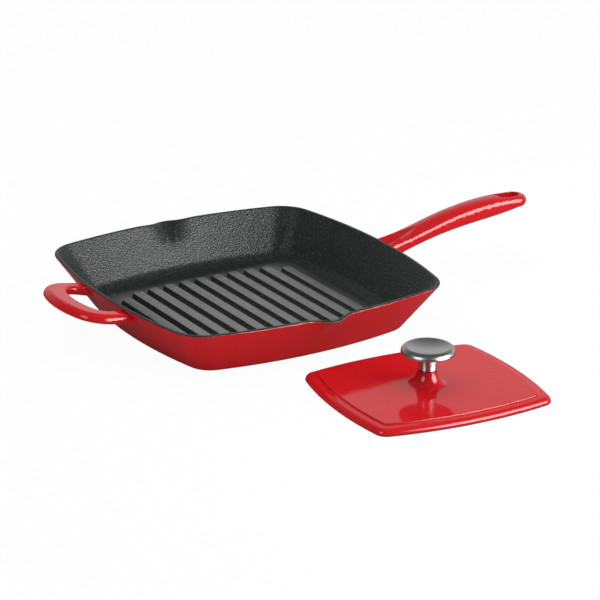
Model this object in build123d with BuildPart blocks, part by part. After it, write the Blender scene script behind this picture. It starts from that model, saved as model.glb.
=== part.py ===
from build123d import *
from math import asin, atan2, cos, degrees, hypot, radians, sin, sqrt
import os

os.makedirs("parts", exist_ok=True)

# The origin is the middle of the pan's underside, +X runs to the long handle, and all sizes are in mm

# Pan bowl
rim_half = 140.0            # half of the square's width at the rim
base_half = 110.5           # half of its width at the underside
pan_height = 43.5
rim_corner = 32.0
base_corner = 22.0
pan_bow = 12.4              # degrees that each side arc turns either side of its middle
wall = 4.5
floor = 4.5
base_edge = 9.0
floor_edge = 14.0
rim_edge = 1.4
overrun = 2.0

# Pour spouts in the middle of both sides
spout_height = 17.0         # how far below the rim they start
spout_reach = 9.5
spout_half = 25.0
spout_lip = 12.0
dip = 2.0
dip_half = 30.0

# Ribs across the cooking floor
rib_count = 11
rib_pitch = 16.13
rib_top_half = 4.7
rib_height = 4.0
rib_flank = 1.7
rib_corner = 3.4
rib_edge = 1.2
pad_half_x = 90.0
pad_half_y = 78.5
pad_corner = 30.0
pad_bow = 7.0

# Long handle
handle_root = 124.0
handle_root_height = 28.0
handle_tip = 295.5
handle_tip_height = 56.7
handle_half = 11.8
handle_thick_half = 8.3
handle_corner = 4.4
handle_bow = 15.5
# shares of the run from root to tip, of the climb, of the half width and of the half thickness
handle_station_shares = (
    (0.0, 0.0, 1.5, 0.96),
    (0.16, 0.25, 1.09, 0.93),
    (0.345, 0.503, 1.012, 0.85),
    (0.53, 0.733, 1.0, 0.955),
    (0.713, 0.88, 1.0, 1.03),
    (0.867, 0.953, 1.0, 0.958),
    (0.959, 0.984, 1.0, 0.8),
    (1.0, 1.0, 1.0, 0.71),
)

# Thumb scoop at the handle's root and hanging hole at its tip
scoop_start = 137.0
scoop_start_height = 32.5
scoop_end = 174.0
scoop_end_height = 48.0
scoop_radius = 9.0
hole_length = 23.7
hole_width = 11.5
hole_web = 7.4

# Helper handle, a flat loop that rises outwards
helper_top = 40.5           # height of its upper face below the rim's side
helper_tilt = 10.2
helper_length = 40.5        # from the rim's side to its tip
helper_sink = 20.0          # how far it runs in past the rim's side
helper_arc = 88.8
helper_half = 47.0
helper_corner = 26.0
helper_thick = 7.6
helper_bar = 19.2
helper_edge = 3.5
helper_crown = 5.6          # rounding of its outer upper edge
helper_foot = 1.8           # and of its outer lower edge
helper_gap_half = 34.0
helper_gap_root_half = 22.0
helper_gap_corner = 11.0

# Enamel
coat = 0.4
colour_line = 0.9           # how far in from the outer face the colour changes on the rim
ground_line = 1.3           # height at which the colour changes at the pan's underside
press_line = 1.0            # and at the press's
match = 0.01                # how near two places count as one

# Grill press, standing in front of the pan
press_x = 36.9
press_y = -220.9
press_turn = -4.9
press_half_x = 84.2
press_half_y = 73.1
press_corner = 10.5
press_bow = 11.2
flange_thick = 5.9
flange_draft = 0.3
flange_edge = 4.3
foot_edge = 1.3
panel_height = 7.2
panel_foot = 8.1
panel_inset = 9.0
panel_corner = 7.9
panel_edge = 0.9

# Grooves across the underside of the press
groove_count = 9
groove_pitch = 14.0
groove_width = 5.0
groove_depth = 1.6
groove_margin = 12.0
groove_hub = 10.5
groove_corner = 1.2

# Boss that carries the knob
boss_foot_radius = 15.6
boss_top_radius = 7.9
boss_height = 19.2
boss_hollow = 1.2
boss_edge = 0.7

# Knob and its fixing
screw_radius = 3.0
screw_head_radius = 5.4
screw_head_height = 3.2
screw_head_edge = 1.0
screw_socket_across = 4.0
screw_socket_depth = 2.0
screw_grip = 8.5
screw_clearance = 0.3
recess_radius = 7.2
recess_depth = 5.2
washer_radius = 6.0
washer_thick = 0.8
washer_split = 1.0
gasket_thick = 0.4
gasket_radius = 6.8
stem_radius = 7.4
stem_height = 13.4
stem_edge = 0.4
thread_gap = 0.05
cap_under_radius = 19.6
cap_rim_radius = 22.0
cap_rim_rise = 0.8
cap_rim_band = 1.1
cap_ring_radius = 17.2
cap_ring_rise = 6.0
cap_ring_band = 0.9
cap_dish = 2.2
dish_share = 0.75           # of the dish's depth that is left halfway out
cap_belly = 0.6
cap_edge = 0.4
spigot_length = 2.8
spigot_gap = 0.05


# Outlines with bowed sides, where an inset moves every arc inwards by the same distance


def bow_radii(half_x, half_y, corner, bow):
    # extra radius of the two side arcs over the corner radius
    rise = sin(radians(bow))
    fall = 1 - cos(radians(bow))
    reach_x = half_x - corner
    reach_y = half_y - corner
    share = rise * rise - fall * fall
    return (rise * reach_y - fall * reach_x) / share, (rise * reach_x - fall * reach_y) / share


def bowed(plane, half_x, half_y, corner, bow, inset=0):
    side_x, side_y = bow_radii(half_x, half_y, corner, bow)
    middle_x = half_x - corner - side_x
    middle_y = half_y - corner - side_y
    corner_x = side_y * sin(radians(bow))
    corner_y = side_x * sin(radians(bow))
    radius = corner - inset
    with BuildSketch(plane) as outline:
        with BuildLine():
            for way, turn in ((1, 0), (-1, 180)):
                CenterArc((way * middle_x, 0), side_x + radius, turn - bow, 2 * bow)
                CenterArc((way * corner_x, way * corner_y), radius, turn + bow, 90 - 2 * bow)
                CenterArc((0, way * middle_y), side_y + radius, turn + 90 - bow, 2 * bow)
                CenterArc((-way * corner_x, way * corner_y), radius, turn + 90 + bow, 90 - 2 * bow)
        make_face()
    return outline.sketch


def spouted(plane, inset):
    # the rim's outline, with a round lip on two sides that a hollow arc blends into the side arc
    side, _ = bow_radii(rim_half, rim_half, rim_corner, pan_bow)
    middle = rim_half - rim_corner - side
    knee = side * sin(radians(pan_bow))
    outer = side + rim_corner
    turn_in = asin(spout_half / outer)
    start_x = outer * sin(turn_in)
    start_y = middle + outer * cos(turn_in)
    lip_y = rim_half + spout_reach - spout_lip
    away_x = start_x
    away_y = start_y - lip_y
    excess = away_x * away_x + away_y * away_y - spout_lip * spout_lip
    blend = excess / (2 * (spout_lip - sin(turn_in) * away_x - cos(turn_in) * away_y))
    blend_x = start_x + blend * sin(turn_in)
    blend_y = start_y + blend * cos(turn_in)
    lip_turn = degrees(atan2(blend_x, blend_y - lip_y))
    side_turn = degrees(turn_in)
    with BuildSketch(plane) as outline:
        with BuildLine():
            for way, turn in ((1, 0), (-1, 180)):
                CenterArc((way * middle, 0), outer - inset, turn - pan_bow, 2 * pan_bow)
                CenterArc((way * knee, way * knee), rim_corner - inset, turn + pan_bow, 90 - 2 * pan_bow)
                CenterArc((0, way * middle), outer - inset, turn + 90 - pan_bow, pan_bow - side_turn)
                CenterArc((way * blend_x, way * blend_y), blend + inset, turn + 270 - side_turn,
                          side_turn - lip_turn)
                CenterArc((0, way * lip_y), spout_lip - inset, turn + 90 - lip_turn, 2 * lip_turn)
                CenterArc((-way * blend_x, way * blend_y), blend + inset, turn + 270 + lip_turn,
                          side_turn - lip_turn)
                CenterArc((0, way * middle), outer - inset, turn + 90 + side_turn, pan_bow - side_turn)
                CenterArc((-way * knee, way * knee), rim_corner - inset, turn + 90 + pan_bow,
                          90 - 2 * pan_bow)
        make_face()
    return outline.sketch


# Pan shapes, each at a given inset from the enamelled surface


def bowl(inset, bottom, edge, above=0):
    rim = spouted(Plane.XY.offset(pan_height), inset)
    base = bowed(Plane.XY, base_half, base_half, base_corner, pan_bow, inset)
    spout_low = pan_height - spout_height
    half = rim_half - (rim_half - base_half) * spout_height / pan_height
    corner = rim_corner - (rim_corner - base_corner) * spout_height / pan_height
    neck = bowed(Plane.XY.offset(spout_low), half, half, corner, pan_bow, inset)
    with BuildPart() as shape:
        loft([base, neck], ruled=True)
        loft([neck, rim], ruled=True)
        if above:
            extrude(rim, amount=above)
        if bottom:
            split(bisect_by=Plane.XY.offset(bottom), keep=Keep.TOP)
        if edge:
            fillet(shape.faces().sort_by(Axis.Z)[0].edges(), edge)
    return shape.part


def rim_dips(inset):
    # what lies above the two lips, where the rim sinks a little
    top = pan_height - inset
    roof = pan_height + dip_half
    with BuildPart() as shape:
        with BuildSketch(Plane.XZ):
            with BuildLine():
                Spline((-dip_half, top), (0, top - dip), (dip_half, top), tangents=((1, 0), (1, 0)))
                Polyline((dip_half, top), (dip_half, roof), (-dip_half, roof), (-dip_half, top))
            make_face()
        extrude(amount=rim_half + 2 * spout_reach, both=True)
    return shape.part


def rib_reach(x):
    # half length of the rib at x, up to a bowed outline round all the ribs
    side_x, side_y = bow_radii(pad_half_x, pad_half_y, pad_corner, pad_bow)
    corner_x = side_y * sin(radians(pad_bow))
    corner_y = side_x * sin(radians(pad_bow))
    if x > corner_x + pad_corner * sin(radians(pad_bow)):
        return corner_y + sqrt(pad_corner * pad_corner - (x - corner_x) * (x - corner_x))
    radius = side_y + pad_corner
    return pad_half_y - radius + sqrt(radius * radius - x * x)


def ribs(inset):
    top = floor + rib_height - inset
    low = floor / 2
    spread = rib_flank * (top - low) / rib_height
    half = rib_top_half - inset
    bars = []
    for index in range(rib_count):
        x = (index - (rib_count - 1) / 2) * rib_pitch
        reach = rib_reach(abs(x)) - inset
        with BuildSketch(Plane((x, 0, low))) as foot:
            RectangleRounded(2 * (half + spread), 2 * (reach + spread), rib_corner - inset + spread)
        with BuildSketch(Plane((x, 0, top))) as crown:
            RectangleRounded(2 * half, 2 * reach, rib_corner - inset)
        with BuildPart() as bar:
            loft([foot.sketch, crown.sketch], ruled=True)
            fillet(bar.faces().sort_by(Axis.Z)[-1].edges(), rib_edge - inset)
        bars.append(bar.part)
    return bars


def long_handle(inset):
    end = handle_tip - handle_half
    sections = []
    for run, climb, wide, thick in handle_station_shares:
        x = handle_root + run * (end - handle_root)
        z = handle_root_height + climb * (handle_tip_height - handle_root_height)
        plane = Plane(origin=(x, 0, z), x_dir=(0, 1, 0), z_dir=(1, 0, 0))
        half_width = wide * handle_half - inset
        half_thick = thick * handle_thick_half - inset
        sections.append(bowed(plane, half_width, half_thick, handle_corner - inset, handle_bow))
    slope = (scoop_end - scoop_start, 0, scoop_end_height - scoop_start_height)
    with BuildPart() as shape:
        loft(sections)
        with BuildSketch(plane):
            add(bowed(Plane.XY, half_width, half_thick, handle_corner - inset, handle_bow))
            with Locations((-half_width, 0)):
                Rectangle(2 * half_width, 4 * half_thick, mode=Mode.SUBTRACT)
        revolve(axis=Axis((x, 0, z), (0, 0, 1)), revolution_arc=-180)
        with BuildSketch(Plane(origin=(scoop_start, 0, scoop_start_height), x_dir=(0, 1, 0), z_dir=slope)):
            with Locations((0, scoop_radius)):
                Circle(scoop_radius + inset)
        extrude(amount=handle_tip - scoop_start, both=True, mode=Mode.SUBTRACT)
        add(hanging_hole(inset), mode=Mode.SUBTRACT)
    return shape.part


def hanging_hole(inset):
    middle = handle_tip - hole_web - hole_length / 2
    with BuildPart() as shape:
        with BuildSketch(Plane.XY.offset(handle_tip_height)):
            with Locations((middle, 0)):
                SlotOverall(hole_length + 2 * inset, hole_width + 2 * inset)
        extrude(amount=2 * handle_thick_half, both=True)
    return shape.part


def helper_handle(inset):
    tilt = radians(helper_tilt)
    upper = Plane(origin=(-rim_half, 0, helper_top), x_dir=(cos(tilt), 0, -sin(tilt)),
                  z_dir=(sin(tilt), 0, cos(tilt)))
    plane = upper.offset(inset - helper_thick)
    across = Axis(plane.origin, plane.z_dir)
    thick = helper_thick - 2 * inset
    middle = helper_arc - helper_length
    gap_arc = helper_arc - helper_bar + inset
    gap_half = helper_gap_half + inset
    gap_end = middle - sqrt(gap_arc * gap_arc - gap_half * gap_half)

    def outside(edge):
        return plane.to_local_coords(edge.center()).X < helper_sink - match

    def round_gap(edge):
        place = plane.to_local_coords(edge.center())
        along = hypot(place.X - middle, place.Y) < gap_arc + match
        return outside(edge) and along and abs(place.Y) < gap_half + match

    with BuildPart() as shape:
        with BuildSketch(plane) as outline:
            with Locations((middle, 0)):
                Circle(helper_arc - inset)
            with Locations((helper_sink, 0)):
                Rectangle(2 * (helper_length + helper_sink), 2 * (helper_half - inset),
                          align=(Align.MAX, Align.CENTER), mode=Mode.INTERSECT)
            fillet(outline.vertices().group_by(Axis.X)[0], helper_corner - inset)
        extrude(amount=thick)
        for way, rounding in ((0, helper_foot), (-1, helper_crown)):
            face = shape.faces().filter_by(across).sort_by(across)[way]
            fillet(face.edges().filter_by(outside), rounding - inset)
        with BuildSketch(plane) as gap:
            with BuildLine():
                ThreePointArc((gap_end, gap_half), (middle - gap_arc, 0), (gap_end, -gap_half))
                Polyline((gap_end, -gap_half), (helper_sink, -helper_gap_root_half),
                         (helper_sink, helper_gap_root_half), (gap_end, gap_half))
            make_face()
            fillet(gap.vertices().group_by(Axis.X)[0], helper_gap_corner + inset)
        extrude(amount=thick, mode=Mode.SUBTRACT)
        fillet(shape.faces().filter_by(across).edges().filter_by(round_gap), helper_edge - inset)
    return shape.part


def pan_bowl(inset):
    top = pan_height - inset
    with BuildPart() as shape:
        add(bowl(inset, inset, base_edge - inset))
        if inset:
            split(bisect_by=Plane.XY.offset(top), keep=Keep.BOTTOM)
        add(rim_dips(inset), mode=Mode.SUBTRACT)
        add(cavity(inset), mode=Mode.SUBTRACT)
        crown = shape.faces().filter_by(lambda face: top - dip - match < face.center().Z < top + match)
        crown = crown.filter_by(lambda face: face.normal_at(face.center()).Z > cos(radians(pan_bow)))
        rim = crown.edges().filter_by(lambda edge: abs(abs(edge.center().X) - dip_half) > match)
        fillet(rim, rim_edge - inset)
        add(ribs(inset))
    return shape.part


def cavity(inset):
    return bowl(wall - inset, floor - inset, floor_edge + inset, overrun)


def grips(inset):
    # both handles, from the middle of the wall outwards
    base = bowed(Plane.XY, base_half, base_half, base_corner, pan_bow, wall / 2)
    rim = bowed(Plane.XY.offset(pan_height), rim_half, rim_half, rim_corner, pan_bow, wall / 2)
    with BuildPart() as shape:
        add(long_handle(inset))
        add(helper_handle(inset))
        loft([base, rim], ruled=True, mode=Mode.SUBTRACT)
    return shape.part


def below(height):
    # everything under a height, as wide as the whole object
    with BuildPart() as shape:
        with BuildSketch(Plane.XY.offset(-overrun)):
            Rectangle(4 * handle_tip, 4 * handle_tip)
        extrude(amount=overrun + height)
    return shape.part


# Press shapes, on a plane of its own


press_plane = Plane(
    origin=(press_x, press_y, 0),
    x_dir=(cos(radians(press_turn)), sin(radians(press_turn)), 0),
    z_dir=(0, 0, 1),
)
profile_plane = Plane(origin=press_plane.origin, x_dir=press_plane.x_dir, z_dir=-press_plane.y_dir)
press_axis = Axis(press_plane.origin, (0, 0, 1))


def press_outline(plane, margin, corner, inset):
    return bowed(plane, press_half_x - margin, press_half_y - margin, corner, press_bow, inset)


def press_tier(low, high, foot, head, corner, edge, inset):
    # one step of the plate, from its foot up to its head, both set in from the rim's outline
    with BuildPart() as shape:
        loft([press_outline(press_plane.offset(low), foot, corner, inset),
              press_outline(press_plane.offset(high), foot, corner, head - foot + inset)], ruled=True)
        fillet(shape.faces().sort_by(Axis.Z)[-1].edges(), edge - inset)
    return shape.part


def boss(inset):
    foot = boss_foot_radius - inset
    head = boss_top_radius - inset
    low = panel_height - inset
    high = boss_height - inset
    with BuildPart() as shape:
        with BuildSketch(profile_plane) as profile:
            with BuildLine():
                Polyline((head, high), (0, high), (0, flange_thick / 2), (foot, flange_thick / 2), (foot, low))
                ThreePointArc((foot, low), ((foot + head) / 2 - boss_hollow, (low + high) / 2 - boss_hollow),
                              (head, high))
            make_face()
            fillet(profile.vertices().group_by(Axis.Y)[-1].sort_by(Axis.X)[-1], boss_edge - inset / 2)
        revolve(axis=press_axis)
    return shape.part


def grooves(inset):
    with BuildPart() as shape:
        with BuildSketch(press_plane) as plan:
            with GridLocations(groove_pitch, groove_pitch, groove_count, 1):
                Rectangle(groove_width + 2 * inset, 2 * press_half_y)
            add(press_outline(Plane.XY, groove_margin, panel_corner, -inset), mode=Mode.INTERSECT)
            Circle(groove_hub - inset, mode=Mode.SUBTRACT)
            fillet(plan.vertices(), groove_corner + inset)
        extrude(amount=groove_depth + inset)
    return shape.part


def press(inset):
    with BuildPart() as shape:
        add(press_tier(inset, flange_thick - inset, 0, flange_draft, press_corner, flange_edge, inset))
        fillet(shape.faces().sort_by(Axis.Z)[0].edges(), foot_edge - inset)
        add(press_tier(flange_thick / 2, panel_height - inset, panel_foot, panel_inset,
                       panel_corner, panel_edge, inset))
        add(boss(inset))
        add(grooves(inset), mode=Mode.SUBTRACT)
        with BuildSketch(press_plane):
            Circle(screw_radius + screw_clearance)
        extrude(amount=boss_height, mode=Mode.SUBTRACT)
        with BuildSketch(press_plane):
            Circle(recess_radius)
        extrude(amount=recess_depth, mode=Mode.SUBTRACT)
    return shape.part


def under_zone():
    with BuildPart() as shape:
        add(below(press_line))
        extrude(press_outline(press_plane, groove_margin / 2, panel_corner, 0),
                amount=(groove_depth + flange_thick) / 2)
    return shape.part


def ring(low, thick, outer, inner):
    with BuildPart() as shape:
        with BuildSketch(press_plane.offset(low)):
            Circle(outer)
            Circle(inner, mode=Mode.SUBTRACT)
        extrude(amount=thick)
    return shape.part


# Enamelled surface and bare casting of the pan

outer_bowl = pan_bowl(0)
core_bowl = pan_bowl(coat)
cooking_zone = bowl(colour_line, floor / 2, 0, overrun)


with BuildPart() as pan_casting:
    add(core_bowl)
    add(grips(coat))


with BuildPart() as pan_cooking_enamel:
    add(outer_bowl)
    add(cooking_zone, mode=Mode.INTERSECT)
    add(core_bowl, mode=Mode.SUBTRACT)


with BuildPart() as pan_base_enamel:
    add(bowl(0, 0, base_edge))
    add(below(ground_line), mode=Mode.INTERSECT)
    add(bowl(coat, coat, base_edge - coat), mode=Mode.SUBTRACT)


with BuildPart() as pan_outer_enamel:
    add(outer_bowl)
    add(grips(0))
    add(cooking_zone, mode=Mode.SUBTRACT)
    add(below(ground_line), mode=Mode.SUBTRACT)
    add(pan_casting.part, mode=Mode.SUBTRACT)


# Press plate

outer_press = press(0)
core_press = press(coat)


with BuildPart() as press_casting:
    add(core_press)


with BuildPart() as press_top_enamel:
    add(outer_press)
    add(under_zone(), mode=Mode.SUBTRACT)
    add(core_press, mode=Mode.SUBTRACT)


with BuildPart() as press_under_enamel:
    add(outer_press)
    add(under_zone(), mode=Mode.INTERSECT)
    add(core_press, mode=Mode.SUBTRACT)


# Knob, from the screw in the underside up to the cap

screw_head_low = recess_depth - washer_thick - screw_head_height
stem_low = boss_height + gasket_thick
stem_top = stem_low + stem_height
thread_radius = screw_radius + thread_gap


with BuildPart() as knob_screw:
    with BuildSketch(press_plane.offset(screw_head_low)):
        Circle(screw_head_radius)
    extrude(amount=screw_head_height)
    fillet(knob_screw.faces().sort_by(Axis.Z)[0].edges(), screw_head_edge)
    with BuildSketch(press_plane.offset(screw_head_low)):
        RegularPolygon(screw_socket_across / 2, 6, major_radius=False)
    extrude(amount=screw_socket_depth, mode=Mode.SUBTRACT)
    with BuildSketch(press_plane.offset(screw_head_low + screw_head_height)):
        Circle(screw_radius)
    extrude(amount=stem_low + screw_grip - screw_head_low - screw_head_height)


with BuildPart() as knob_lock_washer:
    add(ring(recess_depth - washer_thick, washer_thick, washer_radius, screw_radius + screw_clearance))
    with BuildSketch(press_plane.offset(recess_depth)):
        Rectangle(2 * washer_radius, washer_split, align=(Align.MIN, Align.CENTER))
    extrude(amount=-washer_thick, mode=Mode.SUBTRACT)


with BuildPart() as knob_gasket:
    add(ring(boss_height, gasket_thick, gasket_radius, screw_radius + screw_clearance))


with BuildPart() as knob_stem:
    add(ring(stem_low, stem_height, stem_radius, thread_radius))
    ends = knob_stem.edges().filter_by(GeomType.CIRCLE)
    fillet(ends.filter_by(lambda edge: edge.radius > thread_radius + match), stem_edge)


with BuildPart() as knob_cap:
    rim_low = stem_top + cap_rim_rise
    rim_high = rim_low + cap_rim_band
    crest = stem_top + cap_ring_rise
    shoulder = (cap_ring_radius + cap_ring_band, crest)
    with BuildSketch(profile_plane) as section:
        with BuildLine():
            ThreePointArc((0, crest - cap_dish), (cap_ring_radius / 2, crest - cap_dish * dish_share),
                          (cap_ring_radius, crest))
            Line((cap_ring_radius, crest), shoulder)
            ThreePointArc(shoulder, ((shoulder[0] + cap_rim_radius) / 2 + cap_belly,
                                     (crest + rim_high) / 2 + cap_belly), (cap_rim_radius, rim_high))
            Polyline((cap_rim_radius, rim_high), (cap_rim_radius, rim_low), (cap_under_radius, stem_top),
                     (0, stem_top), (0, crest - cap_dish))
        make_face()
        rounds = section.vertices().filter_by(lambda corner: corner.X > cap_ring_radius + match)
        fillet(rounds, cap_edge)
    revolve(axis=press_axis)
    with BuildSketch(press_plane.offset(stem_top)):
        Circle(thread_radius - spigot_gap)
    extrude(amount=-spigot_length)


pieces = {
    "pan_casting": pan_casting,
    "pan_cooking_enamel": pan_cooking_enamel,
    "pan_base_enamel": pan_base_enamel,
    "pan_outer_enamel": pan_outer_enamel,
    "press_casting": press_casting,
    "press_top_enamel": press_top_enamel,
    "press_under_enamel": press_under_enamel,
    "knob_screw": knob_screw,
    "knob_lock_washer": knob_lock_washer,
    "knob_gasket": knob_gasket,
    "knob_stem": knob_stem,
    "knob_cap": knob_cap,
}
for name, piece in pieces.items():
    piece.part.label = name
    export_step(piece.part, f"parts/{name}.step")
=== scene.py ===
from math import cos, pi, radians, sin

import bpy
from mathutils import Matrix, Vector


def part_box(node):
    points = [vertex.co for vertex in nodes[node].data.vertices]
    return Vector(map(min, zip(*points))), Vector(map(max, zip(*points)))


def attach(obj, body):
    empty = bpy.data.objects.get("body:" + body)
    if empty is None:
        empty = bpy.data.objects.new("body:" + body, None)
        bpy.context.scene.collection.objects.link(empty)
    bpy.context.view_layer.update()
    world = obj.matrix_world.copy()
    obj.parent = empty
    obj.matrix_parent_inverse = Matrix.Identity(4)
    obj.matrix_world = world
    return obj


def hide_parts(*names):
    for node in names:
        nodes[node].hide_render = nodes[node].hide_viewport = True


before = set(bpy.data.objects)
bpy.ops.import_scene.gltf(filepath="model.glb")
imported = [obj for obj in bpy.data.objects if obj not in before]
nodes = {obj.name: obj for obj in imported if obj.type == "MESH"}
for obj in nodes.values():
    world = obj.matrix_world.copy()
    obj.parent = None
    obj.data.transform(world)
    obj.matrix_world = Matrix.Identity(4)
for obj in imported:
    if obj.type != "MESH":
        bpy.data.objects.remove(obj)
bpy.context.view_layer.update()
print("loaded", len(nodes), "solids")

plainWhite = (1, 1, 1, 1)


# shader maths written as plain sums

class Wire:
    def __init__(self, tree, socket):
        self.tree, self.socket = tree, socket

    def math(self, operation, *others):
        node = self.tree.nodes.new("ShaderNodeMath")
        node.operation = operation
        for place, value in zip(node.inputs, (self, *others)):
            if isinstance(value, Wire):
                self.tree.links.new(value.socket, place)
            else:
                place.default_value = value
        return Wire(self.tree, node.outputs[0])

    def __add__(self, other): return self.math("ADD", other)
    def __radd__(self, other): return self.math("ADD", other)
    def __sub__(self, other): return self.math("SUBTRACT", other)
    def __rsub__(self, other): return (self * -1).math("ADD", other)
    def __mul__(self, other): return self.math("MULTIPLY", other)
    def __rmul__(self, other): return self.math("MULTIPLY", other)
    def __truediv__(self, other): return self.math("DIVIDE", other)
    def between(self, low, high): return self.math("MAXIMUM", low).math("MINIMUM", high)


class Shading:
    # one node tree, where add() makes any node from its settings and socket values
    def __init__(self, owner):
        owner.use_nodes = True
        self.tree = owner.node_tree
        self.tree.nodes.clear()

    def input(self, node, key):
        # n6 is input number 6, and Base_Color is the input of that name
        if key[0] == "n" and key[1:].isdigit():
            return node.inputs[int(key[1:])]
        return node.inputs[key.replace("_", " ")]

    def add(self, kind, settings=None, output=0, **values):
        node = self.tree.nodes.new("ShaderNode" + kind)
        for key, value in (settings or {}).items():
            setattr(node, key, value)
        for key, value in values.items():
            place = self.input(node, key)
            if isinstance(value, Wire):
                self.tree.links.new(value.socket, place)
            else:
                place.default_value = value
        return Wire(self.tree, node.outputs[output]) if node.outputs else node

    def blend(self, share, one, two):
        # colours one and two mixed by share
        return self.add("Mix", {"data_type": "RGBA"}, output=2, n0=share, n6=one, n7=two)

    def axis(self, place, number):
        # one coordinate of a vector
        return self.add("SeparateXYZ", output=number, Vector=place)

    def alongside(self, one, two):
        return self.add("VectorMath", {"operation": "DOT_PRODUCT"}, output=1, n0=one, n1=two)


def startFinish(name):
    material = bpy.data.materials.new(name)
    return material, Shading(material)


def startSolidFinish(name):
    # the third value is the place on the piece, in metres
    material, s = startFinish(name)
    return material, s, s.add("TexCoord", output=3)


# glossy red enamel

redCoat = {
    "colour": (0.62, 0.012, 0.018, 1),
    "deep": (0.5, 0.008, 0.011, 1),
    "cloudSize": 9,             # patches of the deeper colour, per metre
    "roughness": 0.06,
    "uneven": 0.03,             # how much rougher the deeper patches are
    "ripple": 0.001,            # how strongly the fired surface waves
    "rippleSize": 40,
    "rippleHeight": 0.001,
    "bend": 1.5,                # index of refraction
}


def makeRedEnamel():
    material, s, place = startSolidFinish("redEnamel")
    cloud = s.add("TexNoise", Vector=place, Scale=redCoat["cloudSize"], Detail=2)
    wave = s.add("TexNoise", Vector=place, Scale=redCoat["rippleSize"], Detail=1)
    colour = s.blend(cloud.between(0, 1), redCoat["colour"], redCoat["deep"])
    bump = s.add("Bump", Height=wave, Strength=redCoat["ripple"], Distance=redCoat["rippleHeight"])
    rough = cloud * redCoat["uneven"] + redCoat["roughness"]
    body = s.add("BsdfPrincipled", Base_Color=colour, Roughness=rough, IOR=redCoat["bend"], Normal=bump)
    s.add("OutputMaterial", Surface=body)
    return material


# black satin enamel with fine specks, and a painted sheen on the ribbed field

blackCoat = {
    "colour": (0.013, 0.0145, 0.014, 1),
    "speck": (0.07, 0.077, 0.074, 1),
    "sheenGrey": (0.18, 0.18, 0.18, 1),          # the ribbed field, painted paler as sheen where it faces up
    "sheenGreySpeck": (0.38, 0.38, 0.38, 1),
    "fieldHalfX": 0.1,
    "fieldHalfY": 0.091,
    "fieldFade": 38,            # share of the paler grey gained per metre from the field's edge
    "flatFrom": 0.8,            # only faces that look up at least this much get the painted sheen
    "flatFade": 7,
    "sheenBreakup": 0.3,              # how much weaker the painted sheen is in some random patches
    "patchSize": 22,
    "speckFrom": 0.58,          # the grain's height where a speck begins
    "speckFade": 9,
    "grain": 0.6,
    "grainSize": 800,
    "grainHeight": 0.0008,
    "roughness": 0.34,
    "uneven": 0.1,
    "bend": 1.5,
}


def makeBlackEnamel():
    material, s, place = startSolidFinish("blackEnamel")
    grain = s.add("TexNoise", Vector=place, Scale=blackCoat["grainSize"], Detail=2)
    cloud = s.add("TexNoise", Vector=place, Scale=blackCoat["patchSize"], Detail=3)
    specks = ((grain - blackCoat["speckFrom"]) * blackCoat["speckFade"]).between(0, 1)

    # the field is 1 on the ribs and the floor between them, and 0 on the walls; it carries the painted
    # sheen
    fade = blackCoat["fieldFade"]
    upward = s.axis(s.add("NewGeometry", output=1), 2)
    field = ((upward - blackCoat["flatFrom"]) * blackCoat["flatFade"]).between(0, 1)
    for number, half in enumerate((blackCoat["fieldHalfX"], blackCoat["fieldHalfY"])):
        apart = s.axis(place, number).math("ABSOLUTE")
        field = field * ((half - apart) * fade).between(0, 1)

    # painted sheen: a paler grey on the up-facing field, weaker in random patches
    paintedSheen = field * (1 - cloud * blackCoat["sheenBreakup"])
    dark = s.blend(specks, blackCoat["colour"], blackCoat["speck"])
    pale = s.blend(specks, blackCoat["sheenGrey"], blackCoat["sheenGreySpeck"])
    colour = s.blend(paintedSheen, dark, pale)
    bump = s.add("Bump", Height=grain, Strength=blackCoat["grain"], Distance=blackCoat["grainHeight"])
    rough = cloud * blackCoat["uneven"] + (blackCoat["roughness"] - blackCoat["uneven"] / 2)
    body = s.add("BsdfPrincipled", Base_Color=colour, Roughness=rough, IOR=blackCoat["bend"], Normal=bump)
    s.add("OutputMaterial", Surface=body)
    return material


# bare cast iron under the enamel

bareIron = {
    "colour": (0.07, 0.068, 0.066, 1),
    "dark": (0.04, 0.038, 0.036, 1),
    "roughness": 0.6,
    "metallic": 0.6,
    "grain": 0.4,
    "grainSize": 600,
    "grainHeight": 0.0005,
}


def makeIron():
    material, s, place = startSolidFinish("castIron")
    grain = s.add("TexNoise", Vector=place, Scale=bareIron["grainSize"], Detail=4)
    colour = s.blend(grain, bareIron["dark"], bareIron["colour"])
    bump = s.add("Bump", Height=grain, Strength=bareIron["grain"], Distance=bareIron["grainHeight"])
    body = s.add("BsdfPrincipled", Base_Color=colour, Roughness=bareIron["roughness"],
                 Metallic=bareIron["metallic"], Normal=bump)
    s.add("OutputMaterial", Surface=body)
    return material


# turned stainless steel, with rings round the knob's axis

knobBox = [Vector(corner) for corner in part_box("knob_cap")]
knobAxis = (knobBox[0] + knobBox[1]) / 2

turnedSteel = {
    "colour": (0.64, 0.64, 0.645, 1),
    "dark": (0.52, 0.52, 0.525, 1),
    "roughness": 0.3,
    "uneven": 0.08,             # how much rougher the crests of the rings are
    "rings": 1500,              # turning marks per metre
    "ringDepth": 0.006,
    "ringHeight": 0.0002,
}
stemSteel = dict(turnedSteel, roughness=0.2, rings=1250, ringDepth=0.9)


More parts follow.
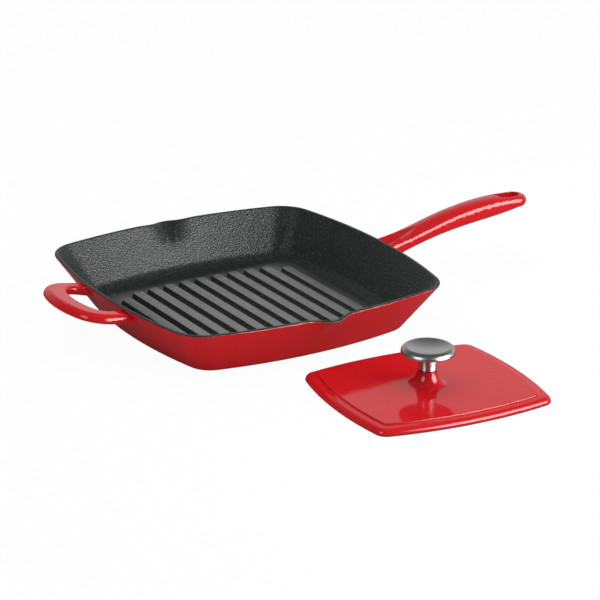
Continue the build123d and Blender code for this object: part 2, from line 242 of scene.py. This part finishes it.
def makeSteel(name, steel, upright):
    # the rings follow one another up a stem, or outwards on a cap
    material, s, place = startSolidFinish(name)
    if upright:
        reach = s.axis(place, 2)
    else:
        apart = s.add("VectorMath", {"operation": "SUBTRACT"}, n0=place, n1=(knobAxis.x, knobAxis.y, 0))
        flat = s.add("VectorMath", {"operation": "MULTIPLY"}, n0=apart, n1=(1, 1, 0))
        reach = s.add("VectorMath", {"operation": "LENGTH"}, output=1, n0=flat)
    ring = (reach * (2 * pi * steel["rings"])).math("SINE") * 0.5 + 0.5
    colour = s.blend(ring, steel["dark"], steel["colour"])
    bump = s.add("Bump", Height=ring, Strength=steel["ringDepth"], Distance=steel["ringHeight"])
    rough = ring * steel["uneven"] + (steel["roughness"] - steel["uneven"] / 2)
    body = s.add("BsdfPrincipled", Base_Color=colour, Roughness=rough, Metallic=1, Normal=bump)
    s.add("OutputMaterial", Surface=body)
    return material


# rubber of the gasket

softRubber = {
    "colour": (0.02, 0.02, 0.021, 1),
    "roughness": 0.7,
    "grain": 0.1,
    "grainSize": 1500,
    "grainHeight": 0.0002,
}


def makeRubber():
    material, s, place = startSolidFinish("gasketRubber")
    grain = s.add("TexNoise", Vector=place, Scale=softRubber["grainSize"])
    bump = s.add("Bump", Height=grain, Strength=softRubber["grain"], Distance=softRubber["grainHeight"])
    body = s.add("BsdfPrincipled", Base_Color=softRubber["colour"], Roughness=softRubber["roughness"],
                 Normal=bump)
    s.add("OutputMaterial", Surface=body)
    return material


redEnamel = makeRedEnamel()
blackEnamel = makeBlackEnamel()
castIron = makeIron()
capSteel = makeSteel("capSteel", turnedSteel, False)
sleeveSteel = makeSteel("sleeveSteel", stemSteel, True)
gasketRubber = makeRubber()
print("finishes ready")


# pieces

pieceSizes = {
    "merge": 0.00001,           # points closer than this become one
    "coatCrease": 40,           # edges sharper than these angles stay sharp
    "knobCrease": 30,
    "plainCrease": 35,
}


def holdOnly(piece):
    bpy.ops.object.select_all(action="DESELECT")
    piece.select_set(True)
    bpy.context.view_layer.objects.active = piece


def paint(piece, material):
    piece.data.materials.clear()
    piece.data.materials.append(material)


def smoothCopy(node, name, body, material, crease):
    # a merged, smooth-shaded copy of a solid, standing in for it
    holdOnly(nodes[node])
    bpy.ops.object.duplicate(linked=False)
    piece = bpy.context.active_object
    piece.name = name
    bpy.ops.object.mode_set(mode="EDIT")
    bpy.ops.mesh.select_all(action="SELECT")
    bpy.ops.mesh.remove_doubles(threshold=pieceSizes["merge"])
    bpy.ops.object.mode_set(mode="OBJECT")
    bpy.ops.object.shade_smooth_by_angle(angle=radians(crease))
    weigh = piece.modifiers.new("evenShading", "WEIGHTED_NORMAL")
    weigh.keep_sharp = True
    weigh.mode = "FACE_AREA_WITH_ANGLE"
    bpy.ops.object.modifier_apply(modifier=weigh.name)
    paint(piece, material)
    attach(piece, body)
    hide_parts(node)
    print(name, len(piece.data.polygons), "faces")


coats = {
    "pan_outer_enamel": ("panRedCoat", "pan", "red_enamel", redEnamel),
    "pan_cooking_enamel": ("panCookingCoat", "pan", "black_enamel", blackEnamel),
    "pan_base_enamel": ("panBaseCoat", "pan", "black_enamel", blackEnamel),
    "press_top_enamel": ("pressRedCoat", "press", "red_enamel", redEnamel),
    "press_under_enamel": ("pressUnderCoat", "press", "black_enamel", blackEnamel),
}
for node, (name, body, slot, material) in coats.items():
    smoothCopy(node, name, body, material, pieceSizes["coatCrease"])

smoothCopy("knob_cap", "knobTop", "press", capSteel, pieceSizes["knobCrease"])
smoothCopy("knob_stem", "knobSleeve", "press", sleeveSteel, pieceSizes["knobCrease"])

plainNodes = {
    "pan_casting": castIron,
    "press_casting": castIron,
    "knob_screw": capSteel,
    "knob_lock_washer": capSteel,
    "knob_gasket": gasketRubber,
}
for node, material in plainNodes.items():
    paint(nodes[node], material)
    holdOnly(nodes[node])
    bpy.ops.object.shade_smooth_by_angle(angle=radians(pieceSizes["plainCrease"]))
print("pieces ready")


# floor, pale for the camera and dim for gloss

stageSizes = {
    "floorHalf": 6.0,
    "drop": 0.0002,             # keeps the floor clear of the undersides
    "chalk": (0.86, 0.86, 0.86, 1),
    "chalkMirrored": (0.12, 0.12, 0.12, 1),
    "whiteShare": 0.96,
    "mirroredShare": 0.03,
}


def rayKinds(shading):
    # how a ray is seen: straight from the camera, in gloss or through glass
    path = shading.add("LightPath").socket.node
    kinds = ("Is Camera Ray", "Is Glossy Ray", "Is Transmission Ray")
    return [Wire(shading.tree, path.outputs[kind]) for kind in kinds]


bpy.ops.mesh.primitive_plane_add(size=2 * stageSizes["floorHalf"], location=(0, 0, -stageSizes["drop"]))
floor = bpy.context.active_object
floor.name = "floor"
floorFinish, s = startFinish("paleFloor")
seen, mirrored, through = rayKinds(s)
share = (seen + through).between(0, 1) * stageSizes["whiteShare"] + mirrored * stageSizes["mirroredShare"]
chalk = s.add("BsdfDiffuse", Color=s.blend(mirrored, stageSizes["chalk"], stageSizes["chalkMirrored"]))
glow = s.add("Emission", Color=plainWhite, Strength=1.0)
s.add("OutputMaterial", Surface=s.add("MixShader", n0=share, n1=chalk, n2=glow))
paint(floor, floorFinish)


# sky, bright towards the backdrop and dim overhead and behind the camera

skySizes = {
    "dim": 0.1,
    "bright": 0.85,
    "fade": 1.3,                # how fast the backdrop darkens with height
    "ceiling": 0.62,            # the backdrop gets no brighter than this share towards the floor
    "backdrop": (0.75, 0.66, 0),
    "turn": 1.3,                # how fast it darkens away from that heading
    "turnEdge": 0.1,
    "room": 0.46,               # light from all round on matt surfaces
}

# soft boxes that gloss sees, with the cosines at their outer and inner edge
softBoxes = {
    "right": {"towards": (0.53, -0.8, 0.27), "outer": 0.88, "inner": 0.96, "glow": 10.0},
    "left": {"towards": (-0.95, -0.2, 0.45), "outer": 0.95, "inner": 0.985, "glow": 3.5},
}

sky = bpy.data.worlds.new("studio")
bpy.context.scene.world = sky
s = Shading(sky)
seen, mirrored, through = rayKinds(s)
heading = s.add("TexCoord", output=0)
height = s.axis(heading, 2)
low = (1 - height.between(0, 1) * skySizes["fade"]).between(0, skySizes["ceiling"])
facing = s.alongside(heading, skySizes["backdrop"])
behind = (facing * skySizes["turn"] - skySizes["turnEdge"]).between(0, 1)
gloss = low * behind * skySizes["bright"] + skySizes["dim"]
for box in softBoxes.values():
    near = s.alongside(heading, Vector(box["towards"]).normalized())
    gloss = gloss + ((near - box["outer"]) / (box["inner"] - box["outer"])).between(0, 1) * box["glow"]
blank = (seen + through).between(0, 1)
level = blank + (1 - blank) * (mirrored * gloss + (1 - mirrored) * skySizes["room"])
s.add("OutputWorld", Surface=s.add("Background", Color=plainWhite, Strength=level))


# lamps, which light matt surfaces only, as gloss sees the soft boxes instead

lampSizes = {
    "right": {"towards": (0.62, -0.7, 0.4), "far": 1.3, "size": (1.2, 0.9), "glow": 3.4},
    "over": {"towards": (-0.1, 0.1, 1), "far": 1.6, "size": (2.0, 2.0), "glow": 1.15},
}
for name, lamp in lampSizes.items():
    away = Vector(lamp["towards"]).normalized()
    data = bpy.data.lights.new(name, "AREA")
    data.shape = "RECTANGLE"
    data.size, data.size_y = lamp["size"]
    data.energy = lamp["glow"] * pi * data.size * data.size_y      # gives the lamp's face that brightness
    light = bpy.data.objects.new(name, data)
    bpy.context.scene.collection.objects.link(light)
    light.location = away * lamp["far"]
    light.visible_glossy = False
    light.rotation_euler = away.to_track_quat("Z", "Y").to_euler()


# camera

cameraSizes = {
    "place": (-0.997392, -1.66663, 0.744693),
    "heading": -32.297,         # degrees from straight along the Y axis
    "height": 20.642,           # degrees above the floor
    "tilt": 0.787,
    "lens": 145.33,
    "sensor": 36,
}
turn, rise, tilt = (radians(cameraSizes[key]) for key in ("heading", "height", "tilt"))
back = Vector((sin(turn) * cos(rise), -cos(turn) * cos(rise), sin(rise)))
across = Vector((cos(turn), sin(turn), 0))
upright = back.cross(across)
side = across * cos(tilt) + upright * sin(tilt)
top = upright * cos(tilt) - across * sin(tilt)
lens = bpy.data.cameras.new("camera")
lens.lens = cameraSizes["lens"]
lens.sensor_width = cameraSizes["sensor"]
camera = bpy.data.objects.new("camera", lens)
bpy.context.scene.collection.objects.link(camera)
facingFrame = Matrix((side, top, back)).transposed().to_4x4()
camera.matrix_world = Matrix.Translation(cameraSizes["place"]) @ facingFrame
bpy.context.scene.camera = camera
bpy.context.scene.view_settings.view_transform = "Standard"
print("stage ready")
